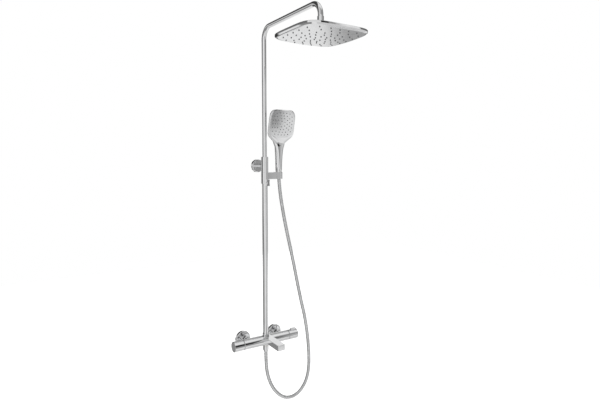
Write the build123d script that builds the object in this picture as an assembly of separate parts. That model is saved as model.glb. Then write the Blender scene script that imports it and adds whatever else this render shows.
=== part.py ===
"""Rainfall shower column: a bar mixer with a spout, a telescopic riser with an overhead rain head,
and a hand shower on a height-adjustable holder. Millimetres.

Frame: +X to the right seen from the room, +Y into the wall, +Z up. The origin is on the finished
wall, midway between the two water inlets. Everything stands in front of the wall, at negative Y.
"""

import math
import os

from build123d import *

os.makedirs("parts", exist_ok=True)

# ---- driving dimensions -------------------------------------------------------------------------
AXIS_GAP = 70.0           # wall to the column's axis
INLET_SPACING = 150.0     # standard distance between the hot and cold outlets in the wall
INLET_THREAD_R = 10.48    # G 1/2 thread, outside
UNION_THREAD_R = 13.2     # G 3/4 thread, outside
FIT = 0.05                # radial running clearance

BAR_R = 21.0              # mixer bar
BAR_HALF = 104.0          # half length of the bar between its knobs
KNOB_LENGTH = 41.5
KNOB_GAP = 1.8            # between the bar's end and a knob
SPOUT_WIDTH = 33.0
SPOUT_HEIGHT = 22.0
SPOUT_REACH = 132.0       # bar axis to spout tip

LOWER_R, LOWER_BORE_R = 11.0, 10.0    # lower riser tube
UPPER_R, UPPER_BORE_R = 9.0, 8.0      # upper pipe, which slides in the lower tube
LOWER_TOP = 742.0         # top end of the lower tube
UPPER_FOOT = 560.0        # bottom end of the upper pipe
ARM_Z = 1264.0            # height of the overhead arm's axis
ARM_REACH = 390.0         # riser axis to drop axis
BEND_R = 45.0
DROP_END = 1207.0         # bottom end of the upper pipe's drop

BRACKET_Z = 723.0         # wall bracket's rod
SLEEVE_LOW, SLEEVE_TOP = 698.0, 760.0
SLEEVE_R = 14.2

BALL_Z = 1182.0           # centre of the rain head's ball joint
BALL_R = 9.0
HEAD_WIDTH = 252.0        # soft square rain head
HEAD_BOW = 4.0            # how far each side bulges
HEAD_CORNER = 46.0
RIM_LOW, RIM_TOP = 1151.0, 1161.5
DOME_R = 1300.0           # the rain face bulges downwards on a sphere of this radius
DOME_DIP = 1143.5         # the face's lowest point

HOLDER_X = 65.0           # riser axis to the holder cup's axis
HOLDER_Z = 684.0          # the cup's tilt axis
CUP_HALF = 17.0           # the cup's axis to its flat face at the arm
ARM_HALF_HEIGHT = 14.0
ARM_HALF_WIDTH = 15.0     # the same on the arm and the cup, so that their faces are flush

SHOWER_WIDTH = 118.0      # hand shower's head
SHOWER_LEAN = 12.0        # degrees, its head leans forwards of the handle
SHOWER_CENTRE = (HOLDER_X, -AXIS_GAP - 31.5, 893.0)

HOSE_R = 7.0
HOSE_START_Z = -48.0      # under the mixer's hose nut
HOSE_END_Z = HOLDER_Z - 1.5

MIN_ALIGN = (Align.CENTER, Align.CENTER, Align.MIN)
TO_RIGHT = Rot(0, 90, 0)          # turns +Z to +X
TO_WALL = Rot(-90, 0, 0)          # turns +Z to +Y
TO_ROOM = Rot(90, 0, 0)           # turns +Z to -Y
COLUMN = Pos(0, -AXIS_GAP, 0)     # the column's vertical axis, and the middle of the bar


# ---- helpers ------------------------------------------------------------------------------------
def rod(radius, low, high):
    """A solid cylinder on the Z axis."""
    return Pos(0, 0, low) * Cylinder(radius, high - low, align=MIN_ALIGN)


def cone(low_radius, high_radius, low, high):
    """A solid cone frustum on the Z axis."""
    return Pos(0, 0, low) * Cone(low_radius, high_radius, high - low, align=MIN_ALIGN)


def ring(outer, inner, low, high):
    """A tube on the Z axis."""
    return rod(outer, low, high) - rod(inner, low, high)


def block(x, y, z):
    """A box from its (low, high) spans."""
    size = [b - a for a, b in (x, y, z)]
    middle = [(a + b) / 2 for a, b in (x, y, z)]
    return Pos(*middle) * Box(*size)


def soft_square(width, corner, bow=HEAD_BOW):
    """A square face with slightly bulging sides and round corners."""
    half = width / 2
    edge = half - bow
    corners = [(edge, -edge), (edge, edge), (-edge, edge), (-edge, -edge)]
    middles = [(half, 0), (0, half), (-half, 0), (0, -half)]
    sides = [ThreePointArc(corners[i], middles[i], corners[(i + 1) % 4]) for i in range(4)]
    face = make_face(Curve() + sides)
    return fillet(face.vertices(), corner)


def save(name, shape):
    """Writes one node. Several solids stay separate in it."""
    solids = shape.solids()
    export_step(solids[0] if len(solids) == 1 else Compound(solids), f"parts/{name}.step")


def save_pair(name, make):
    """Writes one node that holds the same piece at both inlets."""
    pieces = []
    for side in (-1, 1):
        pieces += (Pos(side * INLET_SPACING / 2, 0, 0) * make()).solids()
    export_step(Compound(pieces), f"parts/{name}.step")


# ---- mixer bar ----------------------------------------------------------------------------------
CARTRIDGE_R = 15.0
CARTRIDGE_DEPTH = 46.0
SPINDLE_R = 4.0
BOSS_TOP = 21.5
BOSS_R = 13.2
TUBE_SEAT = 8.0
OUTLET_BOSS_LOW = -22.5
PAD_FRONT = 23.0          # the spout's pad, in front of the bar's axis
TAIL_R = 12.0
TAIL_END = -36.0          # the inlet tails' ends, towards the wall
AERATOR_R = 10.5
AERATOR_LOW = BAR_R - SPOUT_HEIGHT - 2.5
AERATOR = Pos(0, 16 - SPOUT_REACH, 0)


def make_mixer_body():
    bar = rod(BAR_R, -BAR_HALF, BAR_HALF)
    bar = TO_RIGHT * fillet(bar.edges().filter_by(GeomType.CIRCLE), 0.6)
    body = bar + rod(BOSS_R, 0, BOSS_TOP) + rod(11.5, OUTLET_BOSS_LOW, 0)
    body += block((-SPOUT_WIDTH / 2, SPOUT_WIDTH / 2), (-PAD_FRONT, 0), (BAR_R - SPOUT_HEIGHT, BAR_R))
    tail_length = AXIS_GAP + TAIL_END
    for side in (-1, 1):
        at_inlet = Pos(side * INLET_SPACING / 2, 0, 0) * TO_WALL
        body += at_inlet * rod(TAIL_R, 0, tail_length)
        body += at_inlet * rod(BOSS_R - 0.2, tail_length - 2.5, tail_length)
    for side in (-1, 1):
        outwards = Rot(0, 0, 90 - 90 * side) * TO_RIGHT
        body -= outwards * rod(CARTRIDGE_R, BAR_HALF - CARTRIDGE_DEPTH, BAR_HALF)
        body -= Pos(side * INLET_SPACING / 2, 0, 0) * TO_WALL * rod(9.0, 0, tail_length)
    body -= TO_RIGHT * rod(8.0, CARTRIDGE_DEPTH - BAR_HALF, BAR_HALF - CARTRIDGE_DEPTH)
    body -= rod(8.0, 0, BOSS_TOP) + rod(LOWER_R + FIT, TUBE_SEAT, BOSS_TOP)
    body -= rod(6.0, OUTLET_BOSS_LOW, 0) + rod(8.0, OUTLET_BOSS_LOW, OUTLET_BOSS_LOW + 9)
    body -= Pos(0, 0, BAR_R - SPOUT_HEIGHT / 2) * TO_ROOM * rod(6.0, 0, PAD_FRONT)
    return COLUMN * body


def make_spout():
    low = BAR_R - SPOUT_HEIGHT
    half = SPOUT_WIDTH / 2
    shape = block((-half, half), (-SPOUT_REACH, -PAD_FRONT), (low, BAR_R))
    shape = fillet(shape.edges().filter_by(Axis.Z).group_by(Axis.Y)[0], 4.0)
    rims = shape.faces().sort_by(Axis.Z)[0].edges() + shape.faces().sort_by(Axis.Z)[-1].edges()
    shape = fillet([e for e in rims if e.center().Y < -PAD_FRONT - 1], 0.8)
    shape -= block((-half + 4, half - 4), (-SPOUT_REACH + 10, -PAD_FRONT), (low + 5, BAR_R - 3))
    return COLUMN * (shape - AERATOR * rod(AERATOR_R, low, low + 8))


def make_aerator_housing():
    return COLUMN * AERATOR * ring(AERATOR_R, 8.8, AERATOR_LOW, AERATOR_LOW + 9)


def make_aerator_insert():
    """A flow straightener with four slots."""
    disc = rod(8.8, AERATOR_LOW + 1.2, AERATOR_LOW + 6)
    for step in (-4.5, -1.5, 1.5, 4.5):
        disc -= block((step - 0.7, step + 0.7), (-6, 6), (AERATOR_LOW + 1.2, AERATOR_LOW + 6))
    return COLUMN * AERATOR * disc


def make_cartridge(side, slots):
    outwards = Rot(0, 0, 90 - 90 * side) * TO_RIGHT
    low, high = BAR_HALF - CARTRIDGE_DEPTH, BAR_HALF
    body = rod(CARTRIDGE_R, low, high) - rod(SPINDLE_R + FIT, low + 22, high)
    body -= rod(6.0, low, low + 14)
    for turn in range(slots):
        body -= Rot(0, 0, 360 / slots * turn) * block((9, 16), (-2.5, 2.5), (low + 3, low + 12))
    return COLUMN * outwards * body


def make_spindle(side):
    outwards = Rot(0, 0, 90 - 90 * side) * TO_RIGHT
    return COLUMN * outwards * rod(SPINDLE_R, BAR_HALF - 22, BAR_HALF + KNOB_GAP + 33)


def make_bezel_rings():
    bezel = ring(BAR_R - 0.7, 14.0, BAR_HALF, BAR_HALF + KNOB_GAP - 0.5)
    pair = [COLUMN * Rot(0, 0, turn) * TO_RIGHT * bezel for turn in (0, 180)]
    return pair[0] + pair[1]


# ---- knobs --------------------------------------------------------------------------------------
KNOB_LOW = BAR_HALF + KNOB_GAP
KNOB_HIGH = KNOB_LOW + KNOB_LENGTH
KNOB_WALL = 2.5
CAP_DEPTH = 3.5
HUB_R = 8.0
BUTTON_X = (119.0, 143.4)
BUTTON_HALF = 5.0
BUTTON_LOW, BUTTON_TOP = 15.0, 26.0
BUTTON_TRAVEL = 3.0
SPRING_X = 129.2


def make_knob(side, button_slot=False):
    """A hollow knob on its splined hub, with a recess in its end for the cap."""
    shell = rod(BAR_R, KNOB_LOW, KNOB_HIGH)
    rims = shell.edges().filter_by(GeomType.CIRCLE)
    shell = fillet(rims, 0.8)
    shell -= rod(BAR_R - KNOB_WALL, KNOB_LOW, KNOB_HIGH - CAP_DEPTH - 3)
    shell -= rod(BAR_R - 1.8, KNOB_HIGH - CAP_DEPTH, KNOB_HIGH)
    shell += rod(HUB_R, KNOB_LOW + 6, KNOB_HIGH - CAP_DEPTH - 3)
    shell -= rod(SPINDLE_R, KNOB_LOW, BAR_HALF + KNOB_GAP + 33)
    knob = Rot(0, 0, 90 - 90 * side) * TO_RIGHT * shell
    if button_slot:
        knob -= block((BUTTON_X[0] - 0.2, BUTTON_X[1] + 0.2), (-BUTTON_HALF - 0.2, BUTTON_HALF + 0.2),
                      (BUTTON_LOW - BUTTON_TRAVEL - 0.5, BAR_R + 1))
    return COLUMN * knob


def make_knob_cap(side):
    disc = rod(BAR_R - 1.8, KNOB_HIGH - CAP_DEPTH, KNOB_HIGH - 0.4)
    disc = fillet(disc.edges().group_by(Axis.Z)[-1], 0.8)
    return COLUMN * Rot(0, 0, 90 - 90 * side) * TO_RIGHT * disc


def make_safety_button():
    """A press bar through the hot knob's shell, with a flange under the shell that keeps it in."""
    pad = block(BUTTON_X, (-BUTTON_HALF, BUTTON_HALF), (BUTTON_LOW, BUTTON_TOP))
    pad = fillet(pad.edges().filter_by(Axis.Z), 2.0)
    pad = fillet(pad.edges().group_by(Axis.Z)[-1], 1.2)
    flange = block((BUTTON_X[0] - 2, BUTTON_X[1] - 3), (-6.3, 6.3), (BUTTON_LOW, BUTTON_LOW + 1.6))
    return COLUMN * (pad + flange)


def make_safety_spring():
    return COLUMN * Pos(SPRING_X, 0, 0) * ring(3.2, 2.0, HUB_R, BUTTON_LOW)


# ---- wall connections ---------------------------------------------------------------------------
STUD_DEPTH = 18.0         # how far each union reaches into the wall
ROSETTE_R = 32.5
ROSETTE_DEPTH = 12.0
UNION_END = 33.5          # the unions' ends, towards the room
TAIL_FACE = -TAIL_END
FILTER_SEAT = 20.0        # from here to the union's end the waterway is wider


def make_wall_union():
    """A hollow screw: its outer thread goes into the wall, its larger one takes the ring nut."""
    body = rod(INLET_THREAD_R, -STUD_DEPTH, 4) + rod(UNION_THREAD_R, 4, UNION_END)
    return TO_ROOM * (body - rod(7.5, -STUD_DEPTH, FILTER_SEAT) - rod(8.0, FILTER_SEAT, UNION_END))


def make_wall_rosette():
    cup = rod(ROSETTE_R, 0, ROSETTE_DEPTH)
    cup = fillet(cup.edges().group_by(Axis.Z)[-1], 4.0)
    cup -= rod(ROSETTE_R - 2, 0, ROSETTE_DEPTH - 2) + rod(UNION_THREAD_R + 0.2, 0, ROSETTE_DEPTH)
    return TO_ROOM * cup


def make_union_nut():
    """A ring nut, held by the tail's flange and screwed on the wall union."""
    nut = rod(18.0, 22, 42)
    nut = chamfer(nut.edges().filter_by(GeomType.CIRCLE), 1.0)
    nut -= rod(UNION_THREAD_R + FIT, 22, 39) + rod(TAIL_R + FIT, 39, 42)
    return TO_ROOM * nut


def make_inlet_filter():
    """A sieve cup whose flange is clamped between the union and the tail."""
    flange = ring(12.9, 7.4, UNION_END, TAIL_FACE)
    cup = ring(7.4, 6.2, UNION_END - 5, TAIL_FACE) + rod(7.4, UNION_END - 6, UNION_END - 5)
    return TO_ROOM * (flange + cup)


def make_check_valve():
    """A non-return valve, pressed into the tail's bore."""
    valve = rod(9.0, 38, 50) - rod(6.0, 41, 50)
    return TO_ROOM * (valve - rod(2.0, 38, 50))


# ---- riser, bracket and hose outlet -------------------------------------------------------------
def make_riser_nut():
    nut = ring(BOSS_R, LOWER_R + 0.1, BOSS_TOP + 0.4, 30.5)
    return COLUMN * chamfer(nut.edges().group_by(Axis.Z)[-1][0:1], 0.8)


def make_sleeve():
    sleeve = rod(SLEEVE_R, SLEEVE_LOW, SLEEVE_TOP)
    sleeve = fillet(sleeve.edges().group_by(Axis.Z)[-1], 1.2)
    sleeve -= rod(LOWER_R, SLEEVE_LOW, SLEEVE_TOP - 4) + rod(UPPER_R + 0.3, SLEEVE_LOW, SLEEVE_TOP)
    sleeve -= Pos(0, 0, 749) * TO_WALL * rod(2.0, 0, SLEEVE_R + 1)
    return COLUMN * (sleeve - Pos(0, 0, BRACKET_Z) * TO_WALL * rod(5.0, LOWER_R, SLEEVE_R + 1))


def make_guide_collar():
    collar = ring(LOWER_R, UPPER_R + FIT, LOWER_TOP, SLEEVE_TOP - 4)
    return COLUMN * (collar - Pos(0, 0, 749) * TO_WALL * rod(2.0, LOWER_R - 1, LOWER_R + 1))


def make_set_screw():
    screw = rod(2.0, LOWER_R - 1, SLEEVE_R + 0.3)
    return COLUMN * Pos(0, 0, 749) * TO_WALL * (screw - rod(1.0, SLEEVE_R - 2, SLEEVE_R + 0.3))


BRACKET_ROD_R = 8.0
PLATE_R = 23.0
PLATE_DEPTH = 4.0
SCREW_SPACING = 30.0
SCREW_R = 2.25
SCREW_NECK_R = 2.6        # the screws' plain necks, in the plate


def make_bracket_rod():
    spigot = rod(5.0, LOWER_R, SLEEVE_R)
    shaft = rod(BRACKET_ROD_R, SLEEVE_R, AXIS_GAP - PLATE_DEPTH)
    return COLUMN * Pos(0, 0, BRACKET_Z) * TO_WALL * (spigot + shaft)


def make_bracket_rosette():
    cup = rod(26.5, 0, 14)
    cup = fillet(cup.edges().group_by(Axis.Z)[-1], 3.0)
    cup -= rod(24.5, 0, 12) + rod(BRACKET_ROD_R, 0, 14)
    return Pos(0, 0, BRACKET_Z) * TO_ROOM * cup


def make_wall_plate():
    plate = rod(PLATE_R, 0, PLATE_DEPTH)
    for side in (-1, 1):
        plate -= Pos(side * SCREW_SPACING / 2, 0, 0) * rod(SCREW_NECK_R, 0, PLATE_DEPTH)
    return Pos(0, 0, BRACKET_Z) * TO_ROOM * plate


def make_bracket_screws():
    screw = rod(SCREW_R, -20, 0) + rod(SCREW_NECK_R, 0, PLATE_DEPTH)
    screw += rod(4.2, PLATE_DEPTH, PLATE_DEPTH + 2.6)
    screw -= block((-2.5, 2.5), (-0.5, 0.5), (PLATE_DEPTH + 1.4, PLATE_DEPTH + 2.6))
    pair = [Pos(side * SCREW_SPACING / 2, 0, BRACKET_Z) * TO_ROOM * screw for side in (-1, 1)]
    return pair[0] + pair[1]


NIPPLE_LOW = -36.0


def make_outlet_nipple():
    nipple = rod(8.0, OUTLET_BOSS_LOW, OUTLET_BOSS_LOW + 9)
    nipple += rod(INLET_THREAD_R, NIPPLE_LOW, OUTLET_BOSS_LOW)
    return COLUMN * (nipple - rod(6.0, NIPPLE_LOW, OUTLET_BOSS_LOW + 9))


def make_outlet_washer():
    return COLUMN * ring(INLET_THREAD_R - 0.1, 6.0, NIPPLE_LOW - 2, NIPPLE_LOW)


def make_hose_nut():
    nut = rod(11.8, -41, OUTLET_BOSS_LOW - 0.7) + cone(9.2, 11.8, HOSE_START_Z, -41)
    nut -= rod(INLET_THREAD_R + FIT, NIPPLE_LOW - 2, OUTLET_BOSS_LOW) + rod(5.5, HOSE_START_Z, -38)
    return COLUMN * nut


# ---- upper pipe and its guides ------------------------------------------------------------------
PISTON_SEAT = (564.0, 600.0)
PISTON_NECK_R = 8.5
PISTON_BORE_R = 7.2


def make_upper_pipe():
    """One bent pipe: the sliding riser, the overhead arm and the drop to the rain head."""
    corners = [(0, 0, PISTON_SEAT[1]), (0, 0, ARM_Z), (0, -ARM_REACH, ARM_Z), (0, -ARM_REACH, DROP_END)]
    route = FilletPolyline(*corners, radius=BEND_R)
    section = Plane(origin=(0, 0, PISTON_SEAT[1]), z_dir=(0, 0, 1))
    pipe = sweep(section * Circle(UPPER_R), path=route) - sweep(section * Circle(UPPER_BORE_R), path=route)
    neck = ring(PISTON_NECK_R, PISTON_BORE_R, UPPER_FOOT, PISTON_SEAT[1])
    neck += ring(UPPER_R - 0.1, PISTON_BORE_R, PISTON_SEAT[1], PISTON_SEAT[1] + 4)
    return COLUMN * (pipe + neck)


def make_piston_bush():
    low, high = PISTON_SEAT
    bush = ring(LOWER_BORE_R - FIT, PISTON_NECK_R + FIT, low + 0.3, high - 0.3)
    for groove in (low + 9, high - 12):
        bush -= ring(LOWER_BORE_R, LOWER_BORE_R - 0.9, groove, groove + 2.4)
    return COLUMN * bush


def make_piston_o_rings():
    low, high = PISTON_SEAT
    rings = [ring(LOWER_BORE_R - 0.03, LOWER_BORE_R - 0.9, groove + 0.1, groove + 2.3)
             for groove in (low + 9, high - 12)]
    return COLUMN * (rings[0] + rings[1])


def make_piston_circlip():
    clip = ring(9.4, PISTON_NECK_R, PISTON_SEAT[0] - 2.0, PISTON_SEAT[0] - 0.6)
    return COLUMN * (clip - block((-1.5, 1.5), (6, 11), (PISTON_SEAT[0] - 3, PISTON_SEAT[0])))


# ---- rain head ----------------------------------------------------------------------------------
DROP = Pos(0, -AXIS_GAP - ARM_REACH, 0)
COLLAR_R = 10.8
SEAT_OUTER_R = 11.0
NECK_R = 14.0
NECK_TOP = 1172.5
FACE_WIDTH = 240.0
NOZZLE_R = 2.1


def make_arm_collar():
    collar = rod(COLLAR_R, 1198, 1215)
    collar = chamfer(collar.edges().filter_by(GeomType.CIRCLE), 0.8)
    collar -= rod(9.3, 1199, 1212) + rod(6.0, 1198, 1199) + rod(UPPER_R, 1212, 1215)
    return DROP * collar


def make_head_ball():
    ball = Pos(0, 0, BALL_Z) * Sphere(BALL_R) + rod(5.5, BALL_Z, 1199)
    ball += rod(9.2, 1199, DROP_END) + rod(UPPER_BORE_R, DROP_END, DROP_END + 12)
    return DROP * (ball - rod(3.5, BALL_Z - BALL_R, DROP_END + 12))


def make_ball_seat():
    """A thin plastic ring between the ball and the socket, which lets the head tilt both ways."""
    seat = Sphere(SEAT_OUTER_R - FIT) - Sphere(BALL_R + FIT)
    seat &= Box(30, 30, 8)
    return DROP * Pos(0, 0, BALL_Z) * seat


def make_socket_nut():
    nut = rod(NECK_R, NECK_TOP, BALL_Z + 9)
    nut = chamfer(nut.edges().group_by(Axis.Z)[-1], 1.5)
    nut -= rod(SEAT_OUTER_R, NECK_TOP, BALL_Z) + Pos(0, 0, BALL_Z) * Sphere(SEAT_OUTER_R)
    nut -= cone(6.0, 9.6, BALL_Z + 4, BALL_Z + 9)
    return DROP * nut


def make_ball_seal():
    return DROP * ring(8.5, 4.5, NECK_TOP - 1.5, NECK_TOP + 0.3)


def make_head_shell():
    """The thin upper shell: a soft square rim and a low roof that rises to the neck."""
    rim = Pos(0, 0, RIM_LOW) * extrude(soft_square(HEAD_WIDTH, HEAD_CORNER), RIM_TOP - RIM_LOW)
    rim = fillet(rim.edges().group_by(Axis.Z)[-1], 1.5)
    rim = chamfer(rim.edges().group_by(Axis.Z)[0], 3.2)
    roof = loft([Pos(0, 0, RIM_TOP) * soft_square(HEAD_WIDTH - 12, HEAD_CORNER - 6),
                 Pos(0, 0, NECK_TOP - 4) * soft_square(84, 30, 1.5)])
    cavity = Pos(0, 0, RIM_LOW) * extrude(soft_square(HEAD_WIDTH - 8, HEAD_CORNER - 4), 6.0)
    hollow = loft([Pos(0, 0, RIM_LOW + 5) * soft_square(HEAD_WIDTH - 22, HEAD_CORNER - 10),
                   Pos(0, 0, NECK_TOP - 7) * soft_square(76, 28, 1.5)])
    shell = rim + roof + rod(NECK_R, RIM_TOP, NECK_TOP) - cavity - hollow
    shell -= rod(5.0, RIM_LOW, NECK_TOP) + rod(8.5, NECK_TOP - 1.5, NECK_TOP)
    return DROP * shell


def dome(radius_offset):
    """A ball whose lowest point is the rain face's lowest point, raised by an offset."""
    return Pos(0, 0, DOME_DIP + DOME_R) * Sphere(DOME_R - radius_offset)


def ringed_places(rings):
    """Places on nested soft squares, each given as (half width, number of places, first step)."""
    places = []
    for half, count, first in rings:
        for step in range(count):
            angle = 2 * math.pi * (step + first) / count
            reach = half / (abs(math.cos(angle)) ** 4 + abs(math.sin(angle)) ** 4) ** 0.25
            places.append((reach * math.cos(angle), reach * math.sin(angle)))
    return places


HEAD_NOZZLES = ringed_places([(20, 6, 0), (40, 10, 0), (60, 16, 0), (83, 16, 0.5), (105, 20, 0)])


def head_face_z(x, y, offset=0.0):
    """Height of the domed face at a place, raised by an offset."""
    reach = DOME_R - offset
    return DOME_DIP + DOME_R - math.sqrt(reach ** 2 - x ** 2 - y ** 2)


def make_face_plate():
    plate = Pos(0, 0, RIM_LOW - 10) * extrude(soft_square(FACE_WIDTH, HEAD_CORNER - 6), 14.5)
    plate = (plate & dome(0)) - dome(2.2)
    holes = [Pos(x, y, DOME_DIP - 5) * Cylinder(NOZZLE_R + 0.15, 30) for x, y in HEAD_NOZZLES]
    return DROP * (plate - holes)


def make_head_nozzles():
    """Soft nozzles, each pushed through its hole from behind up to its collar."""
    nozzles = []
    for x, y in HEAD_NOZZLES:
        tip, seat = head_face_z(x, y) - 2.0, head_face_z(x, y, 2.2) + 0.4
        nozzle = cone(NOZZLE_R - 0.6, NOZZLE_R, tip, seat) + rod(NOZZLE_R + 0.9, seat, seat + 1.2)
        nozzles += (DROP * Pos(x, y, 0) * (nozzle - rod(0.6, tip, seat + 1.2))).solids()
    return Compound(nozzles)


def make_head_chamber():
    """The water chamber's back plate, under the roof and clear of the nozzles."""
    low = RIM_LOW + 4.4
    plate = Pos(0, 0, low) * extrude(soft_square(FACE_WIDTH - 44, HEAD_CORNER - 14), 2.0)
    return DROP * (plate - rod(5.0, low, low + 2))


# ---- height slider and holder -------------------------------------------------------------------
SLIDER_LOW, SLIDER_TOP = 652.0, SLEEVE_LOW - 0.5
SLIDER_R = 14.5
BUSH_R = 13.0
ARM_END = HOLDER_X - CUP_HALF - 0.5
PIVOT_R = 4.0
PIVOT_DEPTH = 2.2         # how far the pivot screw reaches into the cup
LEVER_X = (0.5, 9.5)
LUG_REACH = 1.9           # the lugs beside the lever, counted from its sides
LUG_FRONT = -20.5
LEVER_PIN = (-18.0, 664.0)
LEVER_SIDE = [(-15.4, 668), (-20.2, 668), (-24.4, 643), (-21.6, 643), (-15.4, 656)]    # (y, z)


def make_slider_body():
    low, high = HOLDER_Z - ARM_HALF_HEIGHT, HOLDER_Z + ARM_HALF_HEIGHT - 0.5
    arm = block((2, ARM_END), (-ARM_HALF_WIDTH, ARM_HALF_WIDTH), (low, high))
    arm = fillet(arm.edges().filter_by(Axis.X), 1.2)
    body = rod(SLIDER_R, SLIDER_LOW, SLIDER_TOP) + arm
    pin_bore = rod(1.5, LEVER_X[0] - LUG_REACH, LEVER_X[1] + LUG_REACH)
    for x in ((LEVER_X[0] - LUG_REACH, LEVER_X[0] - 0.3), (LEVER_X[1] + 0.3, LEVER_X[1] + LUG_REACH)):
        body += block(x, (LUG_FRONT, -8), (LEVER_PIN[1] - 4, LEVER_PIN[1] + 5))
    body -= rod(BUSH_R, SLIDER_LOW, SLIDER_TOP)
    body -= Pos(0, *LEVER_PIN) * TO_RIGHT * pin_bore
    body -= Pos(0, 0, HOLDER_Z) * TO_RIGHT * rod(PIVOT_R + FIT, 30, ARM_END)
    body -= block((17, 36), (-8, ARM_HALF_WIDTH), (HOLDER_Z - 8, HOLDER_Z + 8))
    return COLUMN * body


def make_slider_bush():
    return COLUMN * ring(BUSH_R, LOWER_R + FIT, SLIDER_LOW + 0.5, SLIDER_TOP - 0.5)


def make_lock_lever():
    """A clamp lever whose lower end stands off for a finger."""
    side = Plane.YZ.offset(LEVER_X[0]) * make_face(Polyline(*LEVER_SIDE, close=True))
    lever = extrude(side, LEVER_X[1] - LEVER_X[0])
    lever = fillet(lever.edges().filter_by(Axis.X), 1.0)
    return COLUMN * (lever - Pos(0, *LEVER_PIN) * TO_RIGHT * rod(1.5 + FIT, *LEVER_X))


def make_lever_pin():
    return COLUMN * Pos(0, *LEVER_PIN) * TO_RIGHT * rod(1.5, LEVER_X[0] - LUG_REACH, LEVER_X[1] + LUG_REACH)


CUP = Pos(HOLDER_X, -AXIS_GAP, HOLDER_Z)
CUP_LOW, CUP_TOP = -ARM_HALF_HEIGHT, ARM_HALF_HEIGHT
NUT_LOW, NUT_TOP = -6.0, 18.0
NUT_LOW_R, NUT_TOP_R = 9.9, 12.4
LINER = 1.1


def make_holder_cup():
    """A flat-faced cup with a round end, in line with the arm."""
    cup = block((-CUP_HALF, 0), (-ARM_HALF_WIDTH, ARM_HALF_WIDTH), (CUP_LOW, CUP_TOP))
    cup += rod(ARM_HALF_WIDTH, CUP_LOW, CUP_TOP)
    cup = fillet(cup.edges().group_by(Axis.Z)[-1] + cup.edges().group_by(Axis.Z)[0], 1.0)
    slope = (NUT_TOP_R - NUT_LOW_R) / (NUT_TOP - NUT_LOW)
    top_r = NUT_LOW_R + slope * (CUP_TOP - NUT_LOW) + LINER
    cup -= cone(NUT_LOW_R + LINER, top_r, NUT_LOW, CUP_TOP) + rod(12.5, CUP_LOW, NUT_LOW)
    cup -= TO_RIGHT * rod(PIVOT_R, -CUP_HALF, PIVOT_DEPTH - CUP_HALF)
    return CUP * cup


def make_holder_liner():
    slope = (NUT_TOP_R - NUT_LOW_R) / (NUT_TOP - NUT_LOW)
    top_r = NUT_LOW_R + slope * (CUP_TOP - NUT_LOW)
    outside = cone(NUT_LOW_R + LINER, top_r + LINER, NUT_LOW, CUP_TOP)
    return CUP * (outside - cone(NUT_LOW_R, top_r, NUT_LOW, CUP_TOP))


def make_pivot_screw():
    screw = rod(PIVOT_R, 33, HOLDER_X - CUP_HALF + PIVOT_DEPTH) + rod(6.5, 30, 33)
    return COLUMN * Pos(0, 0, HOLDER_Z) * TO_RIGHT * screw


def make_cone_nut():
    """The hose's cone nut. Its lower recess takes the hose, its upper thread the hand shower."""
    nut = cone(NUT_LOW_R, NUT_TOP_R, NUT_LOW, NUT_TOP)
    nut -= rod(8.2, NUT_LOW, -1) + rod(5.0, -1, 5) + rod(INLET_THREAD_R + FIT, 5, NUT_TOP)
    return CUP * nut


def make_hand_washer():
    return CUP * ring(INLET_THREAD_R - 0.2, 6.0, 5.0, 7.0)


# ---- hand shower --------------------------------------------------------------------------------
LEAN = math.radians(SHOWER_LEAN)
SHOWER_PLANE = Plane(origin=SHOWER_CENTRE, x_dir=(1, 0, 0), z_dir=(0, -math.cos(LEAN), -math.sin(LEAN)))
SHOWER_EDGE = -6.0         # depth of its straight edge, and of its back
SHOWER_BACK = -21.0
SHOULDER = -52.0          # where the head begins to narrow to the handle
HANDLE_FOOT = NUT_TOP + 0.4
HAND_NOZZLES = ringed_places([(11, 5, 0.5), (22, 10, 0), (33, 15, 0.5), (44, 20, 0)])


def shower_outline(inset=0.0):
    """The hand shower's head seen from the front: a soft square that narrows to the handle."""
    half = SHOWER_WIDTH / 2 - inset
    points = [(-half, 57 - inset), (half, 57 - inset), (half - 2, SHOULDER), (18 - inset, -88 + inset),
              (inset - 18, -88 + inset), (2 - half, SHOULDER)]
    face = make_face(Polyline(*points, close=True))
    corners = face.vertices()
    top = corners.sort_by(Axis.Y)[-2:]
    face = fillet(top, 30 - inset)
    lower = sorted(face.vertices(), key=lambda v: (v.Y - SHOULDER) ** 2 + (abs(v.X) - half + 2) ** 2)[:2]
    return fillet(lower, 22 - inset / 2)


def shower_square(width, corner):
    return soft_square(width, corner, 1.5)


def make_hand_shell():
    """The head and the handle in one, hollow from the foot up to the recess behind the spray face."""
    front = extrude(SHOWER_PLANE * shower_outline(), amount=SHOWER_EDGE)
    back_plane = SHOWER_PLANE.offset(SHOWER_EDGE)
    middle_plane = SHOWER_PLANE.offset(SHOWER_BACK)
    back = loft([back_plane * shower_outline(), middle_plane * shower_outline(13)])
    stations = [(HANDLE_FOOT, 0, 13.0, 13.0), (60, 0, 14.2, 12.5), (100, -2, 17.0, 12.3),
                (130, -6, 20.0, 12.0)]
    sections = [Plane(origin=(0, y, z)) * Ellipse(a, b) for z, y, a, b in stations]
    handle = CUP * loft(sections)
    shell = front + back + handle
    shell -= CUP * rod(7.0, HANDLE_FOOT, 128)
    shell -= extrude(SHOWER_PLANE * shower_square(SHOWER_WIDTH - 9, 26), amount=-9.5)
    return shell - CUP * rod(INLET_THREAD_R - 2, HANDLE_FOOT, HANDLE_FOOT + 8)


def make_hand_nipple():
    nipple = rod(INLET_THREAD_R, 7.4, HANDLE_FOOT) + rod(INLET_THREAD_R - 2, HANDLE_FOOT, HANDLE_FOOT + 8)
    return CUP * (nipple - rod(6.0, 7.4, HANDLE_FOOT + 8))


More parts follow.
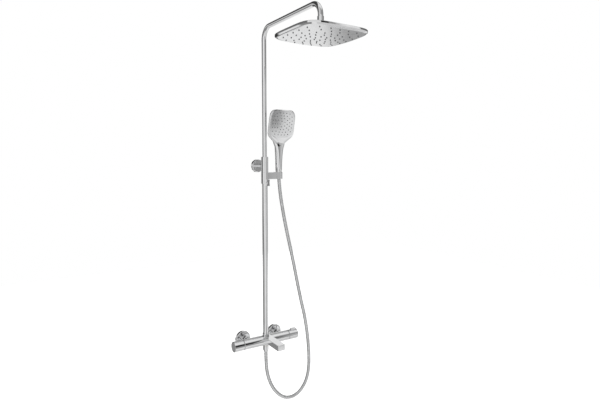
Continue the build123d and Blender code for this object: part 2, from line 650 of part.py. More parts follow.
def make_hand_face():
    plate = extrude(SHOWER_PLANE * shower_square(SHOWER_WIDTH - 9.4, 25.8), amount=-3)
    holes = [SHOWER_PLANE * Pos(x, y, 0) * Cylinder(1.75, 20) for x, y in HAND_NOZZLES]
    return plate - holes


def make_hand_mat():
    mat = SHOWER_PLANE.offset(-4.6) * extrude(shower_square(SHOWER_WIDTH - 16, 22), 1.5)
    nipples = [SHOWER_PLANE * Pos(x, y, 0) * cone(1.6, 1.1, -3.6, 1.4) for x, y in HAND_NOZZLES]
    return mat + nipples


def make_hand_chamber():
    plate = SHOWER_PLANE.offset(-9.4) * extrude(shower_square(SHOWER_WIDTH - 10, 25), 4.6)
    return plate - SHOWER_PLANE * Pos(0, 0, -9.4) * rod(6, 0, 4.6)


# ---- hose ---------------------------------------------------------------------------------------
HOSE_Y = -AXIS_GAP
HOSE_ROUTE = [
    (0, HOSE_Y, HOSE_START_Z), (0, HOSE_Y, -106), (9, HOSE_Y - 3, -170), (40, HOSE_Y - 6, -235),
    (94, HOSE_Y - 8, -280), (158, HOSE_Y - 8, -274), (205, HOSE_Y - 7, -216), (215, HOSE_Y - 6, -120),
    (197, HOSE_Y - 6, 40), (164, HOSE_Y - 5, 168), (132.5, HOSE_Y - 4, 318), (102, HOSE_Y - 2, 447),
    (80, HOSE_Y - 1, 554), (69, HOSE_Y, 628), (HOLDER_X, HOSE_Y, HOSE_END_Z)]


def hose_radii(route):
    """At each corner, as large an arc as its two runs allow."""
    points = [Vector(*p) for p in route]
    radii = []
    for before, here, after in zip(points, points[1:], points[2:]):
        first, second = here - before, after - here
        turn = math.radians(first.get_angle(second))
        radii.append(0.45 * min(first.length, second.length) / math.tan(turn / 2))
    return radii


def make_hose():
    radii = hose_radii(HOSE_ROUTE)
    path = FilletPolyline(*HOSE_ROUTE, radius=radii)
    start = Vector(*HOSE_ROUTE[0])
    section = Plane(origin=start, z_dir=Vector(*HOSE_ROUTE[1]) - start)
    hose = sweep(section * Circle(HOSE_R), path=path)
    print("hose radii:", [round(r) for r in radii])
    print("hose length:", round(path.length), "volume over section and length:",
          round(hose.volume / (math.pi * HOSE_R ** 2 * path.length), 4))
    return hose


NODES = {
    "mixer_body": make_mixer_body, "spout": make_spout, "aerator_housing": make_aerator_housing,
    "aerator_insert": make_aerator_insert,
    "flow_cartridge": lambda: make_cartridge(-1, 3), "thermostatic_cartridge": lambda: make_cartridge(1, 4),
    "bezel_rings": make_bezel_rings,
    "flow_spindle": lambda: make_spindle(-1), "temperature_spindle": lambda: make_spindle(1),
    "flow_knob": lambda: make_knob(-1), "temperature_knob": lambda: make_knob(1, button_slot=True),
    "flow_knob_cap": lambda: make_knob_cap(-1), "temperature_knob_cap": lambda: make_knob_cap(1),
    "safety_button": make_safety_button, "safety_spring": make_safety_spring,
    "riser_nut": make_riser_nut,
    "lower_riser": lambda: COLUMN * ring(LOWER_R, LOWER_BORE_R, TUBE_SEAT, LOWER_TOP),
    "bracket_sleeve": make_sleeve, "guide_collar": make_guide_collar, "collar_set_screw": make_set_screw,
    "bracket_rod": make_bracket_rod, "bracket_rosette": make_bracket_rosette,
    "bracket_wall_plate": make_wall_plate, "bracket_screws": make_bracket_screws,
    "outlet_nipple": make_outlet_nipple, "outlet_washer": make_outlet_washer, "hose_nut": make_hose_nut,
    "upper_pipe": make_upper_pipe, "piston_bush": make_piston_bush, "piston_o_rings": make_piston_o_rings,
    "piston_circlip": make_piston_circlip,
    "arm_collar": make_arm_collar, "head_ball": make_head_ball, "ball_seat": make_ball_seat,
    "socket_nut": make_socket_nut, "ball_seal": make_ball_seal, "head_shell": make_head_shell,
    "head_chamber": make_head_chamber, "head_face_plate": make_face_plate,
    "head_nozzles": make_head_nozzles,
    "slider_body": make_slider_body, "slider_bush": make_slider_bush, "lock_lever": make_lock_lever,
    "lever_pin": make_lever_pin, "holder_cup": make_holder_cup, "holder_liner": make_holder_liner,
    "pivot_screw": make_pivot_screw, "hose_cone_nut": make_cone_nut,
    "hand_shower_washer": make_hand_washer,
    "hand_shower_shell": make_hand_shell, "hand_shower_nipple": make_hand_nipple,
    "hand_shower_face": make_hand_face, "hand_shower_mat": make_hand_mat,
    "hand_shower_chamber": make_hand_chamber, "shower_hose": make_hose,
}
PAIRS = {
    "wall_unions": make_wall_union, "wall_rosettes": make_wall_rosette, "union_nuts": make_union_nut,
    "inlet_filters": make_inlet_filter, "check_valves": make_check_valve,
}

for node, make in NODES.items():
    save(node, make())
for node, make in PAIRS.items():
    save_pair(node, make)
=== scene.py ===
"""A rainfall shower column in polished chrome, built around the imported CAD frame.

Lengths in the tables are millimetres in the CAD frame; meshes are made in metres. Each piece that
replaces a CAD node keeps to that node's place and size, and rides on the same body.
"""

import math

import bpy
from mathutils import Matrix, Vector


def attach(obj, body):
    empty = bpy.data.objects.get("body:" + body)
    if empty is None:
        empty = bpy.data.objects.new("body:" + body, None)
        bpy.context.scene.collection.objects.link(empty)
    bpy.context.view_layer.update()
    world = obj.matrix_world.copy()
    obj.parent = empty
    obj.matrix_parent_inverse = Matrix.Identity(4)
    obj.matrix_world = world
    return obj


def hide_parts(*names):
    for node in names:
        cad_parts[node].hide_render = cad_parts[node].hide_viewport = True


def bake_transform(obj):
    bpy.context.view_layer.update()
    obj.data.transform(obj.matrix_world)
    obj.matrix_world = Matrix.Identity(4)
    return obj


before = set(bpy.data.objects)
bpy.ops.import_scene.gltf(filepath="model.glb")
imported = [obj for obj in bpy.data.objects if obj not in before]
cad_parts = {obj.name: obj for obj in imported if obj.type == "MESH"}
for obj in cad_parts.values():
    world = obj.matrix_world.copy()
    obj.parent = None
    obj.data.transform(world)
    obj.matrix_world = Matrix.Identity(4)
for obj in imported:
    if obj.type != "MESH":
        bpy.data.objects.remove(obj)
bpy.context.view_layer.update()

MM = 0.001
YAW = 32.486              # degrees that the camera looks to the right of the wall's normal
PITCH = 5.054             # degrees that it looks down
CAMERA_PLACE = (-0.9077, -1.7609, 0.7546)   # metres
LENS, SENSOR_WIDTH = 28.365, 36.0           # millimetres


# ---- camera, floor, light -----------------------------------------------------------------------
def make_camera():
    data = bpy.data.cameras.new("camera")
    data.lens = LENS
    data.sensor_width = SENSOR_WIDTH
    camera = bpy.data.objects.new("camera", data)
    camera.location = CAMERA_PLACE
    camera.rotation_euler = (math.radians(90 - PITCH), 0, math.radians(-YAW))
    bpy.context.collection.objects.link(camera)
    bpy.context.scene.camera = camera
    bpy.context.scene.view_settings.view_transform = "Standard"


STUDIO_GREY = 0.80
# Each panel: bearing from the camera's line of sight and height over the horizon in degrees,
# grey, and softness of its edges in degrees. A later panel covers an earlier one.
PANELS = [
    ((-120, -54), (-80, -13), 0.25, 6),         # dark panels on the left
    ((-124, -8), (-13, 18), 0.14, 6),
    ((-112, -8), (18, 75), 0.05, 6),
    ((-50, -8), (-26, 18), 0.04, 5),
    ((-76, -54), (-6, 13), 0.62, 4),            # with a window in them
    ((-153, -116), (-80, -10), 0.42, 6),        # behind the camera
    ((141, 168), (-10, 8), 0.85, 5),
    ((168, 200), (-10, 8), 0.42, 8),
    ((137, 200), (18, 60), 0.45, 10),
    ((-200, -137), (18, 60), 0.45, 10),
    ((121, 163), (-80, -17), 0.56, 6),
    ((8, 76), (-13, 8), 0.27, 6),               # on the right
    ((14, 98), (8, 40), 0.14, 6),
    ((111, 118), (9, 40), 0.30, 3),
    ((76, 114), (-12, 8), 0.58, 5),
    ((46, 112), (-80, -26), 0.62, 6),
    ((-8, 40), (27, 60), 0.35, 8),              # overhead
    ((-9, 5), (-30, 3), 0.85, 5),               # behind the object, under the rain head
    ((5, 14), (-30, 3), 0.36, 7),
    ((116.2, 141), (-22, -9), 0.30, 1.5),       # a doorway to the right of the camera
    ((117.8, 141), (-9, 2), 0.30, 2.5),
    ((117.8, 141), (2, 52), 0.03, 4),
    ((111, 118.8), (-5, 8), 0.47, 2)]


def make_studio():
    """White to the eye, and a studio of bright and dark panels to everything that reflects it."""
    world = bpy.data.worlds.new("studio")
    bpy.context.scene.world = world
    world.use_nodes = True
    tree = world.node_tree
    tree.nodes.clear()
    link = tree.links.new
    turned = tree.nodes.new("ShaderNodeVectorRotate")
    turned.rotation_type = "Z_AXIS"
    turned.inputs["Angle"].default_value = math.radians(YAW)
    link(tree.nodes.new("ShaderNodeTexCoord").outputs["Generated"], turned.inputs["Vector"])
    parts = tree.nodes.new("ShaderNodeSeparateXYZ")
    link(turned.outputs["Vector"], parts.inputs["Vector"])

    def maths(operation, *values):
        node = tree.nodes.new("ShaderNodeMath")
        node.operation = operation
        for socket, value in zip(node.inputs, values):
            if isinstance(value, (int, float)):
                socket.default_value = value
            else:
                link(value, socket)
        return node.outputs["Value"]

    def between(value, low, high, soft):
        """1 between low and high, fading to 0 outside them."""
        sides = []
        for edge, way in ((low, 0.5), (high, -0.5)):
            node = tree.nodes.new("ShaderNodeMapRange")
            node.interpolation_type = "SMOOTHSTEP"
            node.inputs["From Min"].default_value = edge - way * soft
            node.inputs["From Max"].default_value = edge + way * soft
            link(value, node.inputs["Value"])
            sides.append(node.outputs["Result"])
        return maths("MULTIPLY", *sides)

    bearing = maths("DEGREES", maths("ARCTAN2", parts.outputs["X"], parts.outputs["Y"]))
    height = maths("DEGREES", maths("ARCSINE", parts.outputs["Z"]))
    grey = maths("ADD", STUDIO_GREY, 0.0)
    for sides, heights, shade, soft in PANELS:
        inside = maths("MULTIPLY", between(bearing, *sides, soft), between(height, *heights, soft))
        grey = maths("MULTIPLY_ADD", inside, maths("SUBTRACT", shade, grey), grey)
    studio, white = tree.nodes.new("ShaderNodeBackground"), tree.nodes.new("ShaderNodeBackground")
    link(grey, studio.inputs["Color"])
    white.inputs["Color"].default_value = (1, 1, 1, 1)
    seen = tree.nodes.new("ShaderNodeLightPath")
    chosen, output = tree.nodes.new("ShaderNodeMixShader"), tree.nodes.new("ShaderNodeOutputWorld")
    link(seen.outputs["Is Camera Ray"], chosen.inputs["Fac"])
    link(studio.outputs["Background"], chosen.inputs[1])
    link(white.outputs["Background"], chosen.inputs[2])
    link(chosen.outputs["Shader"], output.inputs["Surface"])


FLOOR_Z = -1.05           # metres; the mixer hangs at about this height over the floor
FLOOR_HALF = 6.0


def make_floor():
    """A plain pale floor, as bright as the backdrop it runs into."""
    mesh = bpy.data.meshes.new("studio_floor")
    corners = [(x * FLOOR_HALF, y * FLOOR_HALF, FLOOR_Z)
               for x, y in ((-1, -1), (1, -1), (1, 1), (-1, 1))]
    mesh.from_pydata(corners, [], [(0, 1, 2, 3)])
    floor = bpy.data.objects.new("studio_floor", mesh)
    bpy.context.collection.objects.link(floor)
    paint = bpy.data.materials.new("floor_paint")
    paint.use_nodes = True
    shader = paint.node_tree.nodes["Principled BSDF"]
    shader.inputs["Base Color"].default_value = (0.8, 0.8, 0.8, 1)
    shader.inputs["Roughness"].default_value = 0.9
    shader.inputs["Emission Color"].default_value = (1, 1, 1, 1)
    shader.inputs["Emission Strength"].default_value = 0.9
    mesh.materials.append(paint)
    floor.visible_glossy = False


LAMPS = [                 # name, place and width in metres, watts
    ("panel_left", (-2.6, -0.9, 1.2), 1.6, 6), ("panel_right", (2.4, -1.6, 1.0), 1.4, 5),
    ("panel_top", (-0.2, -1.2, 3.0), 1.8, 8)]
LAMP_TARGET = (0, -0.2, 0.6)


def make_lamps():
    """Soft panels at the left, the right and above."""
    for name, place, size, power in LAMPS:
        data = bpy.data.lights.new(name, "AREA")
        data.size, data.energy = size, power
        lamp = bpy.data.objects.new(name, data)
        lamp.location = place
        aim = Vector(LAMP_TARGET) - Vector(place)
        lamp.rotation_euler = aim.to_track_quat("-Z", "Y").to_euler()
        lamp.visible_glossy = False     # the chrome shows the studio's panels alone
        bpy.context.collection.objects.link(lamp)


# ---- materials ----------------------------------------------------------------------------------
NOISE_LOW, NOISE_HIGH = 0.3, 0.7     # nearly all of a noise field lies between these


class Finish:
    """A procedural finish: noise fields in object coordinates drive one Principled shader."""

    def __init__(self, name, metallic=0.0, **settings):
        self.material = bpy.data.materials.new(name)
        self.material.use_nodes = True
        self.tree = self.material.node_tree
        self.shader = self.tree.nodes["Principled BSDF"]
        self.shader.inputs["Metallic"].default_value = metallic
        for socket, value in settings.items():
            self.shader.inputs[socket.replace("_", " ")].default_value = value
        self.place = self.tree.nodes.new("ShaderNodeTexCoord").outputs["Object"]

    def noise(self, scale, detail, stretch=None):
        place = self.place
        if stretch:
            mapping = self.tree.nodes.new("ShaderNodeMapping")
            mapping.inputs["Scale"].default_value = stretch
            self.tree.links.new(place, mapping.inputs["Vector"])
            place = mapping.outputs["Vector"]
        node = self.tree.nodes.new("ShaderNodeTexNoise")
        node.inputs["Scale"].default_value = scale
        node.inputs["Detail"].default_value = detail
        self.tree.links.new(place, node.inputs["Vector"])
        return node.outputs["Fac"]

    def spread(self, value, low, high):
        """Carries a noise field to a range of plain numbers."""
        node = self.tree.nodes.new("ShaderNodeMapRange")
        node.inputs["From Min"].default_value = NOISE_LOW
        node.inputs["From Max"].default_value = NOISE_HIGH
        node.inputs["To Min"].default_value = low
        node.inputs["To Max"].default_value = high
        self.tree.links.new(value, node.inputs["Value"])
        return node.outputs["Result"]

    def colour(self, value, dark, light):
        node = self.tree.nodes.new("ShaderNodeValToRGB")
        ends = node.color_ramp.elements
        ends[0].position, ends[0].color = NOISE_LOW, (*dark, 1)
        ends[1].position, ends[1].color = NOISE_HIGH, (*light, 1)
        self.tree.links.new(value, node.inputs["Fac"])
        self.tree.links.new(node.outputs["Color"], self.shader.inputs["Base Color"])

    def roughness(self, value, low, high):
        self.tree.links.new(self.spread(value, low, high), self.shader.inputs["Roughness"])

    def bump(self, value, depth):
        """Raises the surface by up to a depth in millimetres."""
        node = self.tree.nodes.new("ShaderNodeBump")
        node.inputs["Strength"].default_value = 1.0
        node.inputs["Distance"].default_value = depth * MM
        self.tree.links.new(value, node.inputs["Height"])
        self.tree.links.new(node.outputs["Normal"], self.shader.inputs["Normal"])


def chrome_polished():
    """Bright plating, faintly rippled, with the dull film that water leaves."""
    finish = Finish("chrome_polished", metallic=1.0)
    finish.colour(finish.noise(28, 5), (0.86, 0.865, 0.87), (0.93, 0.93, 0.935))
    finish.roughness(finish.noise(60, 6), 0.035, 0.085)
    finish.bump(finish.noise(110, 2), 0.012)
    return finish.material


def chrome_face():
    """The spray faces' plating, a little softer than the rest."""
    finish = Finish("chrome_face", metallic=1.0)
    finish.colour(finish.noise(35, 5), (0.80, 0.805, 0.81), (0.88, 0.885, 0.89))
    finish.roughness(finish.noise(70, 6), 0.13, 0.20)
    finish.bump(finish.noise(400, 3), 0.010)
    return finish.material


def hose_metal():
    """A spiral steel hose: its ridges are modelled, and fine rubbing dulls them in places."""
    finish = Finish("hose_metal", metallic=1.0)
    finish.colour(finish.noise(60, 5), (0.72, 0.725, 0.73), (0.88, 0.885, 0.89))
    finish.roughness(finish.noise(240, 4), 0.14, 0.30)
    finish.bump(finish.noise(900, 3), 0.015)
    return finish.material


def nozzle_silicone():
    """Soft grey nozzles with a trace of lime."""
    finish = Finish("nozzle_silicone", Specular_IOR_Level=0.4)
    finish.colour(finish.noise(320, 4), (0.075, 0.077, 0.08), (0.15, 0.15, 0.155))
    finish.roughness(finish.noise(500, 3), 0.42, 0.62)
    finish.bump(finish.noise(1800, 3), 0.03)
    return finish.material


def black_rubber():
    finish = Finish("black_rubber")
    finish.colour(finish.noise(260, 4), (0.012, 0.012, 0.013), (0.035, 0.035, 0.037))
    finish.roughness(finish.noise(400, 4), 0.5, 0.75)
    finish.bump(finish.noise(1500, 4), 0.03)
    return finish.material


def grey_plastic():
    """Moulded cartridge and insert plastic."""
    finish = Finish("grey_plastic")
    finish.colour(finish.noise(180, 4), (0.20, 0.205, 0.21), (0.30, 0.305, 0.31))
    finish.roughness(finish.noise(420, 3), 0.38, 0.55)
    finish.bump(finish.noise(1400, 3), 0.02)
    return finish.material


def raw_brass():
    finish = Finish("raw_brass", metallic=1.0)
    finish.colour(finish.noise(90, 6), (0.50, 0.33, 0.12), (0.74, 0.54, 0.24))
    finish.roughness(finish.noise(300, 5), 0.22, 0.45)
    finish.bump(finish.noise(900, 4), 0.02)
    return finish.material


def brushed_steel():
    finish = Finish("brushed_steel", metallic=1.0)
    finish.colour(finish.noise(150, 5), (0.52, 0.52, 0.53), (0.70, 0.70, 0.71))
    finish.roughness(finish.noise(600, 4, (1, 1, 0.1)), 0.20, 0.40)
    finish.bump(finish.noise(1200, 3, (1, 1, 0.1)), 0.015)
    return finish.material


SLOT_FINISH = {
    "chrome": chrome_polished, "chromed_plastic": chrome_polished, "spray_face": chrome_face,
    "silicone": nozzle_silicone, "hose": hose_metal, "black_rubber": black_rubber,
    "grey_plastic": grey_plastic, "brass": raw_brass, "steel": brushed_steel}


# ---- mesh helpers -------------------------------------------------------------------------------
ARC_STEPS = 6
ARC_LEAD = 1.15           # a point just before and after each arc, as a share of its reach


def softened(points):
    """The open line through (a, b[, radius]) points, with an arc at each one that has a radius."""
    line = []
    for i, point in enumerate(points):
        here = Vector(point[:2])
        if len(point) < 3 or i in (0, len(points) - 1):
            line.append(tuple(here))
            continue
        back, on = Vector(points[i - 1][:2]) - here, Vector(points[i + 1][:2]) - here
        half = back.angle(on) / 2
        reach = min(point[2] / math.tan(half), 0.49 * back.length, 0.49 * on.length)
        start, end = here + back.normalized() * reach, here + on.normalized() * reach
        centre = here + (back.normalized() + on.normalized()).normalized() * reach / math.cos(half)
        first, last = start - centre, end - centre
        turn = first.angle_signed(last)
        line.append(tuple(here + back.normalized() * min(reach * ARC_LEAD, 0.5 * back.length)))
        for step in range(ARC_STEPS + 1):
            line.append(tuple(centre + Matrix.Rotation(-turn * step / ARC_STEPS, 2) @ first))
        line.append(tuple(here + on.normalized() * min(reach * ARC_LEAD, 0.5 * on.length)))
    return line


def loft(rings, closed_ends=(True, True)):
    """Vertices and faces of a skin over rings of equally many points."""
    count = len(rings[0])
    vertices = [tuple(p) for r in rings for p in r]
    faces = []
    for k in range(len(rings) - 1):
        low, high = k * count, (k + 1) * count
        for i in range(count):
            j = (i + 1) % count
            faces.append((low + i, low + j, high + j, high + i))
    if closed_ends[0]:
        faces.append(tuple(reversed(range(count))))
    if closed_ends[1]:
        faces.append(tuple(range((len(rings) - 1) * count, len(rings) * count)))
    return vertices, faces


def lathe(profile, segments):
    """Turns a profile of (radius, height) about Z."""
    turns = [2 * math.pi * i / segments for i in range(segments)]
    return loft([[(r * math.cos(t), r * math.sin(t), z) for t in turns] for r, z in profile])


def piece(name, shapes, body, finish, replaces, sharp=40):
    """One object from (vertices, faces) shapes in millimetres, or (shape, Matrix) pairs.

    It replaces CAD nodes and rides on a body, or on none. Edges where
    faces meet at more than the sharp angle, in degrees, stay crisp.
    """
    vertices, faces = [], []
    for shape in shapes:
        place = Matrix()
        if isinstance(shape[1], Matrix):
            shape, place = shape
        base = len(vertices)
        vertices += [place @ Vector(v) * MM for v in shape[0]]
        faces += [tuple(base + i for i in f) for f in shape[1]]
    mesh = bpy.data.meshes.new(name)
    mesh.from_pydata(vertices, [], faces)
    mesh.validate()
    mesh.shade_smooth()
    mesh.set_sharp_from_angle(angle=math.radians(sharp))
    mesh.materials.append(finish)
    made = bpy.data.objects.new(name, mesh)
    bpy.context.collection.objects.link(made)
    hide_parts(*replaces)
    if body:
        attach(made, body)
    return made


def at(x, y, z, turn=(0, 0, 1)):
    """A place in the CAD frame. turn sends the shape's Z axis to that direction."""
    turned = Vector((0, 0, 1)).rotation_difference(Vector(turn)).to_matrix().to_4x4()
    return Matrix.Translation((x, y, z)) @ turned


def soft_ring(half, power, z, count=160):
    """Points round a soft square of a half width at a height; power 2 makes it a circle."""
    ring = []
    for i in range(count):
        t = 2 * math.pi * i / count
        c, s = math.cos(t), math.sin(t)
        ring.append((math.copysign(abs(c) ** (2 / power), c) * half,
                     math.copysign(abs(s) ** (2 / power), s) * half, z))
    return ring


def ringed_places(rings):
    """Places on nested soft squares, each given as (half width, number of places, first step)."""
    places = []
    for half, count, first in rings:
        for step in range(count):
            angle = 2 * math.pi * (step + first) / count
            reach = half / (abs(math.cos(angle)) ** 4 + abs(math.sin(angle)) ** 4) ** 0.25
            places.append((reach * math.cos(angle), reach * math.sin(angle)))
    return places


# ---- hose ---------------------------------------------------------------------------------------
HOSE_ROUTE = [            # from the mixer's nipple down round the loop and up into the cone nut
    (0, -70, -48), (0, -70, -106), (9, -73, -170), (40, -76, -235), (94, -78, -280),
    (158, -78, -274), (205, -77, -216), (215, -76, -120), (197, -76, 40), (164, -75, 168),
    (132.5, -74, 318), (102, -72, 447), (80, -71, 554), (69, -70, 628), (65, -70, 682.5)]
HOSE_R = 7.0
HOSE_SIDES = 24
RIB_PITCH = 3.2
RIB_PROFILE = ((0.0, 0.0), (0.18, -0.55), (0.36, -0.62), (0.54, 0.0))   # (share of a pitch, radius)


def hose_line():
    """Points in metres along the smooth line that the route's points control."""
    curve = bpy.data.curves.new("hose_route", "CURVE")
    curve.dimensions = "3D"
    curve.resolution_u = 32
    spline = curve.splines.new("NURBS")
    spline.points.add(len(HOSE_ROUTE) - 1)
    for point, place in zip(spline.points, HOSE_ROUTE):
        point.co = (*(c * MM for c in place), 1)
    spline.order_u = 3
    spline.use_endpoint_u = True
    holder = bpy.data.objects.new("hose_route", curve)
    mesh = bpy.data.meshes.new_from_object(holder)
    points = [v.co.copy() for v in mesh.vertices]
    bpy.data.objects.remove(holder)
    bpy.data.curves.remove(curve)
    bpy.data.meshes.remove(mesh)
    return points


def along(points, distances):
    """Places and directions at distances along a line of points."""
    found, k, done = [], 0, 0.0
    for distance in distances:
        while k < len(points) - 2 and done + (points[k + 1] - points[k]).length < distance:
            done += (points[k + 1] - points[k]).length
            k += 1
        run = points[k + 1] - points[k]
        found.append((points[k] + run * ((distance - done) / run.length), run.normalized()))
    return found


def framed(line):
    """Adds to each (place, direction) a steady pair of side directions."""
    side = Vector((0, 1, 0))
    result = []
    for place, direction in line:
        side = (side - direction * side.dot(direction)).normalized()
        result.append((place, side, direction.cross(side)))
    return result


def make_hose(finish):
    """The ribbed hose, which runs from the mixer at its lower end up to the slider at its upper
    end.
    """
    points = hose_line()
    total = sum((b - a).length for a, b in zip(points, points[1:]))
    ribs = int(total / (RIB_PITCH * MM))
    stations, radii = [], []
    for rib in range(ribs):
        for share, dip in RIB_PROFILE:
            stations.append(total * (rib + share) / ribs)
            radii.append(HOSE_R + dip)
    stations.append(total)
    radii.append(HOSE_R)
    rings, centres = [], []
    for (place, a, b), radius in zip(framed(along(points, stations)), radii):
        centres.append(tuple(place))
        rings.append([(place / MM + (a * math.cos(t) + b * math.sin(t)) * radius)
                      for t in (2 * math.pi * i / HOSE_SIDES for i in range(HOSE_SIDES))])
    hose = piece("shower_hose_spiral", [loft(rings)], None, finish, ("shower_hose",), 60)
    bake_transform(hose)


# ---- rain head ----------------------------------------------------------------------------------
DROP = (0, -460, 0)       # the rain head's axis
DOME_R, DOME_DIP = 1300.0, 1143.5   # the spray plate's crown, and the height of its lowest point
SOFT = 4.65               # the rain head's outline between a circle (2) and a square
HEAD_FACE_HALF = 120
NECK_HALF, SQUARE_FROM = 18, 90     # the roof is round at the neck, and square so far out from it
HEAD_NOZZLES = ringed_places([(20, 6, 0), (40, 10, 0), (60, 16, 0), (83, 16, 0.5), (105, 20, 0)])


def face_z(x, y):
    """Height of the spray plate at a place from the rain head's axis."""
    return DOME_DIP + DOME_R - math.sqrt(DOME_R ** 2 - x * x - y * y)


def make_head_shell(finish):
    """Rim with a bevelled lip, and a low roof that sweeps up to the neck."""
    lip = softened([(120.9, 1155.0), (120.9, 1151.2, 0.3), (121.9, 1151.0, 0.4),
                    (126.0, 1154.9, 0.8), (126.0, 1161.5, 1.5), (117.0, 1161.9)])
    roof = [(104, 1162.6), (88, 1163.8), (72, 1165.1), (56, 1166.4), (42, 1167.5), (30, 1168.3),
            (22, 1168.9), (17.5, 1169.5), (15.2, 1170.4), (14.2, 1171.6), (14.0, 1172.4)]
    rings = []
    for half, z in lip + roof:
        power = 2 + (SOFT - 2) * min(1, max(0, (half - NECK_HALF) / SQUARE_FROM)) ** 0.7
        rings.append(soft_ring(half, power, z))
    piece("rain_head_shell", [(loft(rings, (False, False)), at(*DROP))], "rain_head", finish,
          ("head_shell",))


def make_head_face(finish):
    """The domed spray plate, with a rolled edge inside the rim."""
    rings = []
    for share in (0.02, 0.1, 0.2, 0.3, 0.4, 0.5, 0.6, 0.7, 0.8, 0.88, 0.94, 0.98):
        ring = soft_ring(HEAD_FACE_HALF * share, SOFT, 0)
        rings.append([(x, y, face_z(x, y)) for x, y, _ in ring])
    for inset, lift in ((1.2, 0.05), (0.6, 0.3), (0.2, 0.8), (0.0, 1.5), (0.0, 4.5)):
        ring = soft_ring(HEAD_FACE_HALF - inset, SOFT, 0)
        rings.append([(x, y, face_z(x, y) + lift) for x, y, _ in ring])
    piece("rain_head_face", [(loft(rings, (True, False)), at(*DROP))], "rain_head", finish,
          ("head_face_plate",))


WATER_HOLE_R, WATER_HOLE_DEPTH = 0.55, 1.2
NOZZLE_SIDES = 20


def nozzle_shape(radius, tip, flange):
    """A soft nozzle pointing along +Z from a flat seat, with its water hole."""
    floor = tip - WATER_HOLE_DEPTH
    profile = [(0.001, floor), (WATER_HOLE_R, floor), (WATER_HOLE_R, tip), (radius * 0.62, tip),
               (radius * 0.74, tip - 0.25), (radius, 0.55), (flange, 0.22), (flange, -0.6)]
    return lathe(profile, NOZZLE_SIDES)


def make_head_nozzles(finish):
    shapes = []
    for x, y in HEAD_NOZZLES:
        z = face_z(x, y)
        down = Vector((x, y, z - DOME_DIP - DOME_R)).normalized()
        shapes.append((nozzle_shape(2.1, 2.2, 2.5), at(x, DROP[1] + y, z, down)))
    piece("rain_head_nozzles", shapes, "rain_head", finish, ("head_nozzles",), 50)


# ---- hand shower --------------------------------------------------------------------------------
LEAN = math.radians(13.5)
SHOWER_CENTRE = Vector((65, -101.5, 891.2))
SHOWER_UP = Vector((0, -math.sin(LEAN), math.cos(LEAN)))
SHOWER_OUT = Vector((0, -math.cos(LEAN), -math.sin(LEAN)))
SHOWER_SOFT = 4.6
HAND_NOZZLES = ringed_places([(11, 5, 0.5), (22, 10, 0), (33, 15, 0.5), (44, 20, 0)])

# Stations up the handle: the front line's (y, z), half width, front and back depth, front power.
HANDLE_STATIONS = [
    (-82.6, 702.4, 12.4, 12.4, 12.6, 2.0), (-83.0, 703.4, 13.0, 13.0, 13.0, 2.0),
    (-83.0, 722.0, 13.4, 12.8, 12.9, 2.05), (-83.0, 744.0, 14.3, 12.4, 12.6, 2.15),
    (-83.1, 766.0, 15.6, 11.6, 12.6, 2.3), (-83.4, 784.0, 17.2, 10.6, 12.5, 2.45),
    (-83.9, 797.0, 19.0, 9.6, 12.4, 2.6), (-84.5, 806.0, 21.2, 8.8, 12.3, 2.8)]
# And by height up the head's own plane: half width, front and back depth, front power.
HEAD_STATIONS = [
    (-80, 24.2, 8.2, 12.2, 3.1), (-75, 28.2, 7.6, 12.5, 3.4), (-70, 33.2, 7.1, 12.8, 4.0),
    (-65, 39.0, 6.8, 13.2, 4.6), (-60, 45.0, 6.4, 13.6, 5.2), (-55, 50.6, 6.2, 14.0, 5.8),
    (-50, 54.6, 6.0, 14.4, 6.0), (-44, 57.4, 6.0, 14.7, 6.0), (-36, 58.6, 6.0, 15.0, 6.0),
    (-22, 59.0, 6.0, 15.2, 6.0), (0, 59.0, 6.0, 15.2, 6.0), (15, 58.8, 6.0, 15.1, 6.0),
    (28, 58.2, 6.0, 14.8, 6.0), (37, 56.8, 6.0, 14.2, 6.0), (43.5, 54.2, 6.0, 13.2, 6.0),
    (48.5, 50.6, 5.8, 12.3, 5.0), (52.2, 46.2, 5.2, 11.2, 4.2), (54.6, 41.6, 4.4, 10.0, 3.6),
    (56.0, 37.0, 3.2, 7.8, 3.0), (56.7, 33.0, 1.8, 4.6, 2.5), (57.0, 30.0, 0.6, 1.4, 2.2)]
EDGE_SET_BACK = 0.5       # the head's front edge lies this far behind the spray plate's centre
LEVEL_SECTIONS = 4        # sections of the handle that lie level, counted from the bottom
TURNED_SECTIONS = 3       # sections of the head that still follow the handle's line
SECTION_POINTS = 120
BACK_POWER = 2.4          # the back's roundness where the front is squarer


def shell_ring(front, up, half, ahead, behind, power):
    """A section of the hand shower: flat-fronted by its power, with a crowned back."""
    out = Vector((1, 0, 0)).cross(up).normalized()      # towards the room
    middle = front - out * ahead
    ring = []
    for i in range(SECTION_POINTS):
        t = 2 * math.pi * i / SECTION_POINTS
        c, s = math.cos(t), math.sin(t)
        n = power if s > 0 else min(BACK_POWER, power)
        deep = ahead if s > 0 else behind
        x = math.copysign(abs(c) ** (2 / n), c) * half
        ring.append(middle + Vector((x, 0, 0)) + out * math.copysign(abs(s) ** (2 / n), s) * deep)
    return ring


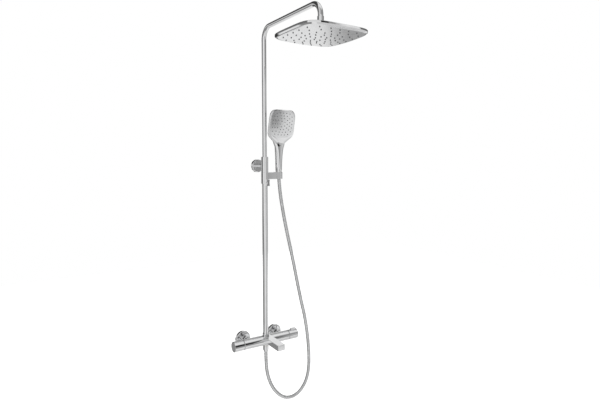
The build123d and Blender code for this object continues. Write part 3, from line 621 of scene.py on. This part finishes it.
def make_hand_shell(finish):
    """Handle and head in one skin, from the thread at the bottom to the head's top edge."""
    fronts = [(Vector((SHOWER_CENTRE.x, y, z)), *rest) for y, z, *rest in HANDLE_STATIONS]
    for v, *rest in HEAD_STATIONS:
        fronts.append((SHOWER_CENTRE + SHOWER_UP * v - SHOWER_OUT * EDGE_SET_BACK, *rest))
    rings = []
    for i, (front, *rest) in enumerate(fronts):
        if i < LEVEL_SECTIONS:
            up = Vector((0, 0, 1))
        elif i < len(HANDLE_STATIONS) + TURNED_SECTIONS:
            up = (fronts[i + 1][0] - fronts[i - 1][0]).normalized()
        else:
            up = SHOWER_UP
        rings.append(shell_ring(front, up, *rest))
    piece("hand_shower_body", [loft(rings)], "hand_shower", finish, ("hand_shower_shell",))


def shower_place():
    """Turns a shape made about its own Z axis so that it looks out of the hand shower's face."""
    turn = Matrix((Vector((1, 0, 0)), SHOWER_UP, SHOWER_OUT)).transposed().to_4x4()
    return Matrix.Translation(SHOWER_CENTRE) @ turn


FACE_HALF, FACE_CROWN = 54.3, 1.5


def crown(x, y):
    """How far the hand shower's face stands proud of its edge at a place."""
    return FACE_CROWN * (0.85 - (x * x + y * y) / FACE_HALF ** 2)


def make_hand_face(finish):
    """A slightly crowned spray plate with a rolled edge."""
    rings = []
    for share in (0.03, 0.15, 0.3, 0.45, 0.6, 0.72, 0.84, 0.92, 0.965):
        ring = soft_ring(FACE_HALF * share, SHOWER_SOFT, 0, SECTION_POINTS)
        rings.append([(x, y, crown(x, y)) for x, y, _ in ring])
    for inset, drop in ((1.0, 0.05), (0.5, 0.25), (0.15, 0.6), (0.0, 1.1), (0.0, 2.8)):
        ring = soft_ring(FACE_HALF - inset, SHOWER_SOFT, 0, SECTION_POINTS)
        rings.append([(x, y, crown(x, y) - drop) for x, y, _ in ring])
    piece("hand_shower_faceplate", [(loft(rings, (True, False)), shower_place())], "hand_shower",
          finish, ("hand_shower_face",))


def make_hand_nozzles(finish):
    shapes = []
    for x, y in HAND_NOZZLES:
        place = shower_place() @ Matrix.Translation((x, y, crown(x, y)))
        shapes.append((nozzle_shape(1.6, 1.5, 2.0), place))
    piece("hand_shower_nozzles", shapes, "hand_shower", finish, ("hand_shower_mat",),
          50)


# ---- everything ---------------------------------------------------------------------------------
def dress_cad(finishes):
    """Gives each CAD node that stays the procedural finish of its own slot."""
    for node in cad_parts.values():
        slots = node.data.materials
        for i, old in enumerate(slots):
            slots[i] = finishes[old.name.split(".")[0]]


make_camera()
finishes = {slot: make() for slot, make in SLOT_FINISH.items()}
make_hose(finishes["hose"])
make_studio()
make_floor()
make_lamps()
dress_cad(finishes)
make_head_shell(finishes["chrome"])
make_head_face(finishes["spray_face"])
make_head_nozzles(finishes["silicone"])
make_hand_shell(finishes["chrome"])
make_hand_face(finishes["spray_face"])
make_hand_nozzles(finishes["silicone"])
